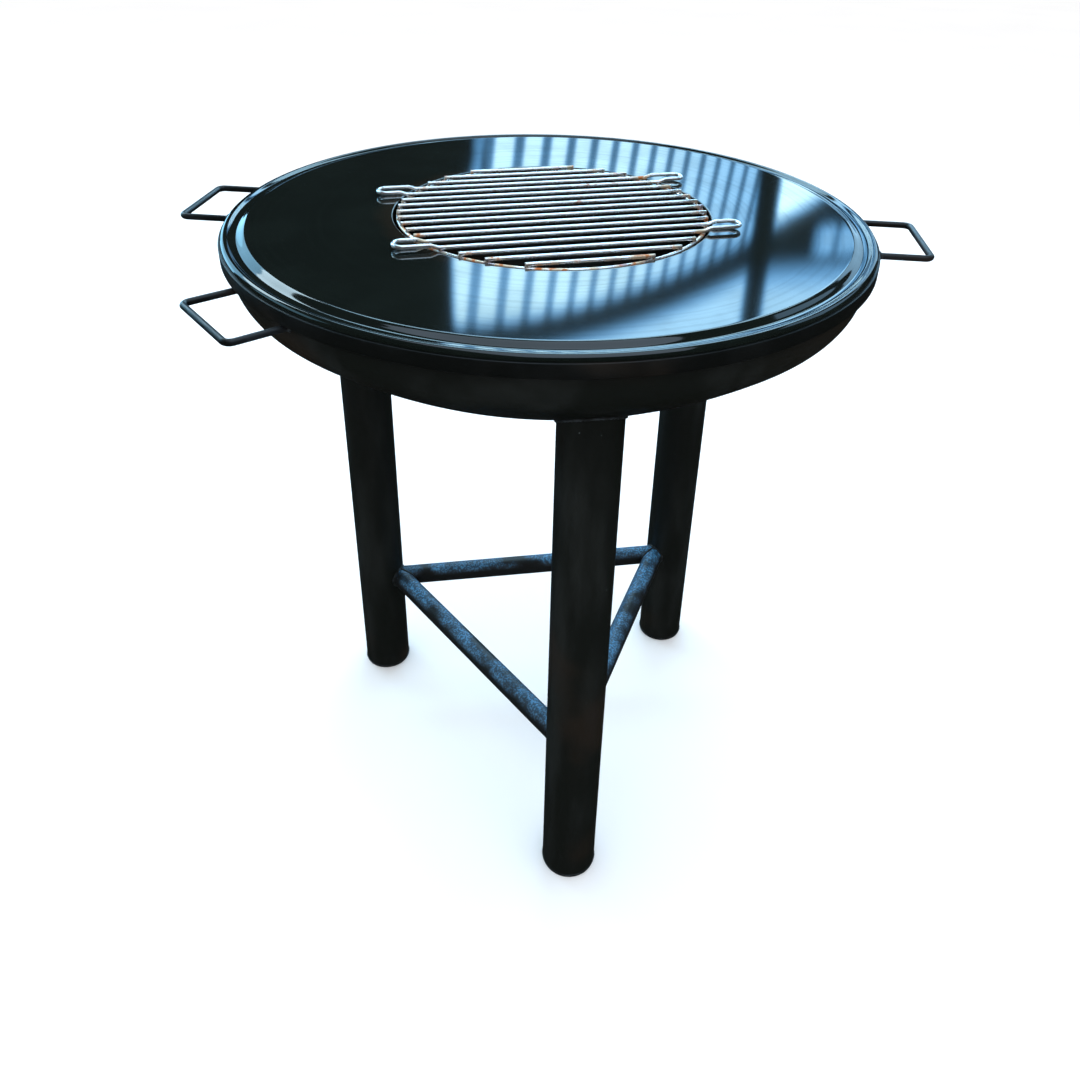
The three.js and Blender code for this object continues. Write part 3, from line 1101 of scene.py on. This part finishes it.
@dataclass
class Griddle:
    """The pressed ring plate with its skirt, handles and the tabs that carry the grate."""

    top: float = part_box("griddle_plate")[1].z
    radius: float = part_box("griddle_plate")[1].x
    lip: float = 882 * MM
    thickness: float = 5 * MM
    hole: float = 204.5 * MM
    hole_offset: float = 3 * MM
    hole_rounding: float = 1.4 * MM
    support: float = 1.2 * MM
    shoulder: tuple[float, float] = (379 * MM, 392.5 * MM)
    gutter_drop: float = 4.5 * MM
    gutter_end: float = 398.4 * MM
    bead: float = 5.5 * MM
    bead_depth: float = 7 * MM
    facets: int = 300
    handle_angle: float = math.radians(165)
    handle_reach: float = 470 * MM
    skirt_wall: float = 4 * MM
    tab_angles: tuple[int, ...] = (35, 125, 215, 305)
    tab_length: float = 37 * MM
    tab_width: float = 24 * MM
    tab_middle: float = 207.5 * MM

    def slope(self, drop: float, steps: int) -> list[Vector]:
        """The pressed step from the gutter up to the cooking surface, as one soft S.

        Args:
            drop: How far the whole step lies below the top surface.
            steps: The number of its points.

        Returns:
            The points, from the gutter inwards.
        """
        inner, outer = self.shoulder
        points = []
        for i in range(steps + 1):
            share = i / steps
            fall = self.gutter_drop * (1 + math.cos(math.pi * share)) / 2
            points.append(Vector((outer + (inner - outer) * share, 0, self.top - drop - fall)))
        return points

    def outline(self) -> list[Vector]:
        """The section of the plate, counter-clockwise from the underside of its hole."""
        under = self.top - self.thickness
        gutter = self.top - self.gutter_drop
        bead_centre = Vector((self.radius - self.bead, 0, self.top - self.bead_depth))
        inner_wall = bead_centre.x
        rolled = arc(bead_centre, self.bead, 0, math.radians(128), 16)
        end = self.gutter_end
        foot = [Vector((end, 0, gutter + 0.35 * MM)), Vector((end - self.support, 0, gutter))]
        corner = Vector((self.hole + self.hole_rounding, 0, self.top - self.hole_rounding))
        edge = arc(corner, self.hole_rounding, math.pi / 2, math.pi, 5)
        flat = [self.shoulder[0] - self.support, corner.x + self.support]
        return [
            Vector((self.hole, 0, under)),
            *self.slope(self.thickness, 14)[::-1],
            Vector((inner_wall, 0, gutter - self.thickness)),
            Vector((inner_wall, 0, self.lip)),
            Vector((self.radius, 0, self.lip)),
            *rolled,
            *foot,
            *self.slope(0, 20),
            *(Vector((radius, 0, self.top)) for radius in flat),
            *edge,
        ]

    def plate(self) -> None:
        """Spins the ring plate."""
        plate = turned("griddle_ring", self.outline(), self.facets)
        middle = (self.hole + self.shoulder[0]) / 2
        shift = Vector((self.hole_offset, 0, 0))
        place_vertices(plate, lambda p: p + shift if math.hypot(p.x, p.y) < middle else p)
        smooth(plate)
        hand_over(plate, Body.GRIDDLE, Slot.SEASONED, GRIDDLE_FILM, "griddle_plate")

    def skirt(self) -> float:
        """Spins the band under the plate's edge.

        Returns:
            Its outer radius.
        """
        low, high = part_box("plate_skirt")
        inner = high.x - self.skirt_wall
        corners = [(inner, low.z), (high.x, low.z), (high.x, high.z), (inner, high.z)]
        band = turned("skirt_band", [Vector((x, 0, z)) for x, z in corners], self.facets)
        soften(band, 0.9 * MM, 3)
        hand_over(band, Body.GRIDDLE, Slot.PAINT, SKIRT_PAINT, "plate_skirt")
        return high.x

    def tab(self, number: int, angle: float) -> None:
        """Makes one tab under the hole, with its inner corners rounded off.

        Args:
            number: The tab's number.
            angle: Its place round the hole.
        """
        low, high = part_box(f"grate_tab_{number}")
        bpy.ops.mesh.primitive_cube_add(size=1, location=(self.tab_middle, 0, (low.z + high.z) / 2))
        tab = bpy.context.object
        tab.name = f"rest_tab_{number}"
        tab.scale = (self.tab_length, self.tab_width, high.z - low.z)
        settle(tab)
        with editing(tab):
            select_edges(tab, lambda p: p.x < self.tab_middle)
            bpy.ops.mesh.bevel(offset=6 * MM, segments=6, affect="EDGES")
        soften(tab, 0.6 * MM)
        tab.rotation_euler.z = angle
        tab.location.x = self.hole_offset
        settle(tab)
        hand_over(tab, Body.GRIDDLE, Slot.SEASONED, TAB_FILM, f"grate_tab_{number}")

    def build(self) -> None:
        """Builds every piece of the griddle."""
        self.plate()
        seat = self.skirt()
        for number, angle in enumerate(self.tab_angles, start=1):
            self.tab(number, math.radians(angle))
        for side, angle in (("left", self.handle_angle), ("right", self.handle_angle - math.pi)):
            Handle("plate", side, angle, seat, self.handle_reach, Body.GRIDDLE).build()


# Grate -----------------------------------------------------------------------------------------


@dataclass
class Grate:
    """The loose wire grate: a ring, straight rods, two looped wires and the spot welds."""

    turn: float = math.radians(4.5)
    wire: float = 2.5 * MM
    ring_radius: float = 198 * MM
    offset_x: float = 3 * MM
    pitch: float = 22.9 * MM
    lines: int = 17
    looped: tuple[tuple[int, int], ...] = ((3, 4), (13, 12))
    tip: float = 214.5 * MM
    rise: float = 3.3 * MM
    kink: float = 9 * MM
    bend: float = 8 * MM
    tip_bend: float = 11.2 * MM
    sag: float = 0.35 * MM
    bows: int = 16
    sides: int = 16
    ring_facets: int = 220
    ring_height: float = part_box("grate_ring")[0].z + 2.5 * MM
    rod_height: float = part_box("grate_ring")[0].z + 7.8 * MM

    def offset(self, line: int) -> float:
        """How far a line of the grate lies from its middle."""
        return (line - (self.lines - 1) / 2) * self.pitch

    def chord(self, offset: float) -> float:
        """Half the width of the ring at an offset."""
        return math.sqrt(self.ring_radius**2 - offset**2)

    def hand_over(self, piece: Piece, finish: Finish, *nodes: str) -> None:
        """Turns a piece to the grate's angle and gives it to the grate."""
        piece.rotation_euler.z = self.turn
        piece.location.x = self.offset_x
        settle(piece)
        hand_over(piece, Body.GRATE, Slot.BRIGHT, finish, *nodes)

    def ring(self) -> None:
        """Spins the ring of wire."""
        centre = Vector((self.ring_radius, 0, self.ring_height))
        section = arc(centre, self.wire, 0, math.tau, self.sides)[:-1]
        ring = turned("grate_hoop", section, self.ring_facets)
        ripple(ring, 60 * MM, 0.5 * MM)
        smooth(ring)
        self.hand_over(ring, GRATE_WIRE, "grate_ring")

    def rod(self, number: int, offset: float) -> None:
        """Draws one straight wire across the ring, with rounded ends and a slight sag.

        Args:
            number: The wire's number.
            offset: Its distance from the grate's middle.
        """
        half = self.chord(offset) + self.wire / 2
        ends = [Vector((-half, offset, self.rod_height)), Vector((half, offset, self.rod_height))]
        rod = bent_bar(f"grate_rod_{number:02d}", ends, self.wire, 0, self.sides)
        soften(rod, 0.7 * MM, 3)
        with editing(rod):
            for step in range(1, self.bows):
                cut = Vector((-half + 2 * half * step / self.bows, 0, 0))
                bpy.ops.mesh.select_all(action="SELECT")
                bpy.ops.mesh.bisect(plane_co=cut, plane_no=(1, 0, 0))
        sway = random.Random(number).uniform(-1, 1) * self.sag

        def bowed(point: Vector) -> Vector:
            """Bows a point of the wire sideways and down a little."""
            share = 1 - (point.x / half) ** 2
            return point + Vector((0, sway, -self.sag * 0.8)) * share

        place_vertices(rod, bowed)
        self.hand_over(rod, GRATE_WIRE, f"grate_bar_{number:02d}")

    def loop(self, name: str, near: float, far: float) -> None:
        """Bends one long wire whose two ends come up over the griddle as finger loops.

        Args:
            name: Which of the two it is.
            near: The offset of its side nearer the rim.
            far: The offset of its other side.
        """
        high = self.rod_height + self.rise
        foot_near, foot_far = self.chord(near) + self.wire, self.chord(far) + self.wire
        route = [
            (0, near, self.rod_height),
            (foot_near, near, self.rod_height),
            (foot_near + self.kink, near, high),
            (self.tip, near, high),
            (self.tip, far, high),
            (foot_far + self.kink, far, high),
            (foot_far, far, self.rod_height),
            (0, far, self.rod_height),
        ]
        bends = [self.bend, self.bend, self.tip_bend, self.tip_bend, self.bend, self.bend]
        points = [Vector(point) for point in route]
        wire = bent_bar(f"grate_loop_wire_{name}", points, self.wire, bends, self.sides)
        with editing(wire):
            bpy.ops.mesh.select_all(action="DESELECT")
            bpy.ops.mesh.select_mode(type="FACE")
            mesh = bmesh.from_edit_mesh(wire.data)
            for face in mesh.faces:
                face.select_set(abs(face.calc_center_median().x) < WELD_LIMIT)
            bmesh.update_edit_mesh(wire.data)
            bpy.ops.mesh.delete(type="ONLY_FACE")
        apply_modifier(wire, "MIRROR", use_axis=(True, False, False), merge_threshold=0.01 * MM)
        close_up(wire)
        smooth(wire)
        self.hand_over(wire, GRATE_WIRE, f"grate_loop_{name}")

    def nugget(self, x: float, y: float) -> Piece:
        """Makes the little lump of one spot weld, where a wire lies on the ring."""
        height = self.rod_height - self.wire
        bpy.ops.mesh.primitive_ico_sphere_add(subdivisions=2, radius=2.2 * MM, location=(x, y, height))
        lump = bpy.context.object
        lump.scale = (1.0, 1.15, 0.62)
        settle(lump)
        ripple(lump, 3 * MM, 0.8 * MM)
        return lump

    def build(self) -> None:
        """Builds every piece of the grate."""
        self.ring()
        sides = [line for pair in self.looped for line in pair]
        straight = [line for line in range(self.lines) if line not in sides]
        for number, line in enumerate(straight, start=1):
            self.rod(number, self.offset(line))
        for name, (near, far) in zip(("front", "back"), self.looped):
            self.loop(name, self.offset(near), self.offset(far))
        offsets = [self.offset(line) for line in range(self.lines)]
        nuggets = [self.nugget(side * self.chord(y), y) for y in offsets for side in (-1, 1)]
        lumps = join(nuggets, "grate_spot_welds")
        smooth(lumps)
        self.hand_over(lumps, BARE_WELD)


# Studio ----------------------------------------------------------------------------------------


@dataclass(frozen=True)
class SoftBox:
    """A flat soft light that faces a point and is itself unseen."""

    name: str
    place: Vector
    target: Vector
    width: float
    height: float
    glow: float
    tint: Colour = (0.62, 0.82, 1.0)

    def hang(self) -> bpy.types.Light:
        """Hangs the light.

        Returns:
            The light.
        """
        lamp = bpy.data.lights.new(self.name, "AREA")
        lamp.shape = "RECTANGLE"
        lamp.size = self.width
        lamp.size_y = self.height
        lamp.energy = self.glow * math.pi * self.width * self.height
        lamp.color = self.tint
        box = bpy.data.objects.new(self.name, lamp)
        bpy.context.scene.collection.objects.link(box)
        box.location = self.place
        box.rotation_euler = (self.target - self.place).to_track_quat("-Z", "Y").to_euler()
        box.visible_camera = False
        return lamp


@dataclass(frozen=True)
class Window:
    """The tall slatted light behind the bowl, whose panes are drawn by arithmetic."""

    distance: float = 3.0
    left: float = -0.05
    right: float = 2.35
    low: float = 1.42
    high: float = 2.85
    post: tuple[float, float] = (1.505, 1.615)
    deep: Colour = (0.42, 1.30, 2.50)
    pale: Colour = (0.84, 1.36, 1.62)

    def beam(self, x: Term) -> Term:
        """The height at which the slanting dark beam begins, at a place across the window."""
        return 2.52 - 0.18 * x - 0.17 * (x - 0.5) * (x - 0.5)

    def slats(self, x: Term, z: Term) -> Term:
        """The pale slats below the beam, left of the post."""
        lean = x + 0.11 * (z - 1.9) - 0.19
        phase = lean * 6.87 + lean * lean * 3.05
        slat = (0.5 - 0.5 * (phase * math.tau).cosine()).rising(0.04, 0.55)
        gap = 0.16 + 0.20 * (z - 1.6)
        fading = 1 - 0.42 * x.rising(0.70, 1.50)
        start = (x + 0.11 * z.rising(1.60, 2.05)).rising(0.135, 0.185)
        first = 1 - 0.75 * (1 - x.rising(0.19, 0.23)) * (1 - z.rising(1.60, 2.10))
        level = (gap + (1 - gap) * slat) * fading * start * first * 0.84
        return level * (1 - (z - self.beam(x)).rising(-0.08, 0.05)) * (1 - x.rising(1.50, 1.53))

    def plain_pane(self, x: Term, z: Term) -> Term:
        """The plain pane above the beam, on both sides of the post."""
        near = (z - self.beam(x)).rising(0.11, 0.27) * (1 - x.rising(1.53, 1.56))
        far = z.rising(2.14, 2.42) * x.rising(1.56, 1.59)
        return (near + far) * 0.62

    def bright_pane(self, x: Term, z: Term) -> Term:
        """The bright pane right of the post, below the beam."""
        glow = 1.05 - 0.50 * x.rising(1.78, 1.96)
        return glow * x.rising(1.59, 1.64) * (1 - (z - self.beam(x)).rising(-0.10, 0.04))

    def glints(self, x: Term, z: Term) -> Term:
        """Two small pale patches at the far right."""
        bar = 1 - 0.7 * x.within(1.94, 1.97, 0.02)
        return 0.42 * z.within(2.02, 2.16, 0.05) * x.rising(1.80, 1.90) * bar

    def hang(self) -> None:
        """Hangs the window as one light."""
        place = Vector(((self.left + self.right) / 2, self.distance, (self.low + self.high) / 2))
        size = (self.right - self.left, self.high - self.low)
        lamp = SoftBox("window", place, place - Vector((0, 1, 0)), *size, 1.0, (1, 1, 1)).hang()
        lamp.use_nodes = True
        tree = Tree(lamp.node_tree)
        x, _, z = tree.parted(tree.node("ShaderNodeNewGeometry").outputs["Position"])
        panes = self.slats(x, z) + self.plain_pane(x, z) + self.bright_pane(x, z) + self.glints(x, z)
        level = panes * (1 - 0.97 * x.within(*self.post, 0.02))
        colour = tree.mixed(level.rising(0.1, 0.9), self.deep, self.pale)
        strength = level * (3.3 + 3.2 * (z - 1.6))
        glow = tree.node("ShaderNodeEmission", {}, {"Color": colour, "Strength": strength})
        tree.node("ShaderNodeOutputLight", {}, {"Surface": glow.outputs[0]})


@dataclass
class Studio:
    """The pale floor, the soft lights and the camera."""

    camera_place: Vector = Vector((-0.1956, -1.1594, 1.2796))
    heading: float = math.radians(9.67)
    pitch: float = math.radians(29.72)
    roll: float = math.radians(1.43)
    lens: float = 31.26
    shift: tuple[float, float] = (-0.0064, -0.1296)
    sky: Colour = (0.010, 0.014, 0.014)
    ground: Colour = (0.014, 0.014, 0.011)

    def aim(self) -> None:
        """Sets up the camera."""
        level = Vector((math.sin(self.heading), math.cos(self.heading), 0))
        forward = level * math.cos(self.pitch) - UP * math.sin(self.pitch)
        right = forward.cross(UP).normalized()
        above = right.cross(forward)
        side = right * math.cos(self.roll) + above * math.sin(self.roll)
        top = above * math.cos(self.roll) - right * math.sin(self.roll)
        lens = bpy.data.cameras.new("camera")
        lens.lens = self.lens
        lens.sensor_width = 36
        lens.shift_x, lens.shift_y = self.shift
        camera = bpy.data.objects.new("camera", lens)
        bpy.context.scene.collection.objects.link(camera)
        turn = Matrix((side, top, -forward)).transposed()
        camera.matrix_world = Matrix.Translation(self.camera_place) @ turn.to_4x4()
        bpy.context.scene.camera = camera

    def floor(self) -> None:
        """Lays the pale floor."""
        bpy.ops.mesh.primitive_plane_add(size=80)
        floor = bpy.context.object
        floor.name = "floor"
        floor.visible_glossy = False
        graph = Graph("floor_paper")
        tone = graph.mixed(graph.noise(0.8, 2).rising(0.3, 0.7), (0.86, 0.86, 0.86), (0.84, 0.84, 0.845))
        floor.data.materials.append(graph.finish(Base_Color=tone, Roughness=0.9, Specular_IOR_Level=0.1))

    def surroundings(self) -> None:
        """Makes the surroundings pale, but dim where they are mirrored."""
        world = bpy.data.worlds.new("studio")
        bpy.context.scene.world = world
        world.use_nodes = True
        tree = Tree(world.node_tree)
        pale = tree.node("ShaderNodeBackground", {}, {"Color": (1.0, 1.0, 1.0, 1), "Strength": 1.2})
        height = tree.parted(tree.node("ShaderNodeTexCoord").outputs["Generated"])[2]
        dusk = tree.mixed(height.rising(-0.05, 0.05), self.ground, self.sky)
        dim = tree.node("ShaderNodeBackground", {}, {"Color": dusk})
        mirrored = tree.node("ShaderNodeLightPath").outputs["Is Glossy Ray"]
        mix = tree.node("ShaderNodeMixShader", {}, {0: mirrored, 1: pale.outputs[0], 2: dim.outputs[0]})
        tree.node("ShaderNodeOutputWorld", {}, {"Surface": mix.outputs[0]})

    def light(self) -> None:
        """Hangs the window and the soft boxes round it."""
        centre = Vector((0, 0, 0.85))
        Window().hang()
        boxes = [
            ("overhead", (0.1, -0.5, 3.5), (2.6, 3.8), 1.7, (0.62, 0.80, 1.0)),
            ("upper_back", (0.75, 3.0, 3.75), (3.7, 1.3), 6.0, (0.45, 0.78, 1.0)),
            ("left_low", (-2.45, 3.0, 1.15), (2.1, 1.3), 4.4, (0.30, 0.70, 1.0)),
            ("left_mid", (-2.45, 3.0, 2.30), (2.1, 1.0), 3.0, (0.32, 0.70, 1.0)),
            ("left_high", (-2.45, 3.0, 3.35), (2.1, 1.1), 7.0, (0.62, 0.86, 1.0)),
            ("right_high", (3.0, 0.6, 2.9), (1.8, 1.8), 1.6, (0.40, 0.70, 1.0)),
            ("right_back", (3.05, 2.8, 1.90), (1.1, 2.0), 2.4, (0.38, 0.70, 1.0)),
            ("left_side", (-3.2, 0.6, 2.30), (1.8, 1.4), 1.6, (0.35, 0.75, 1.0)),
            ("back_low", (0.7, 3.0, 1.14), (3.4, 0.46), 0.8, (0.25, 0.58, 1.0)),
        ]
        for name, place, size, glow, tint in boxes:
            target = centre if name == "overhead" else Vector((place[0] / 2, 0, place[2]))
            SoftBox(name, Vector(place), target, *size, glow, tint).hang()

    def build(self) -> None:
        """Sets up the camera, the floor and the lights."""
        bpy.context.scene.view_settings.view_transform = "Standard"
        self.aim()
        self.floor()
        self.surroundings()
        self.light()


def main() -> None:
    """Builds the studio and the object, in order."""
    logging.basicConfig(level=logging.INFO, format="%(name)s: %(message)s")
    for part in (Studio(), Stand(), Griddle(), Grate()):
        log.info("building %s", type(part).__name__)
        part.build()


if __name__ == "__main__":
    main()
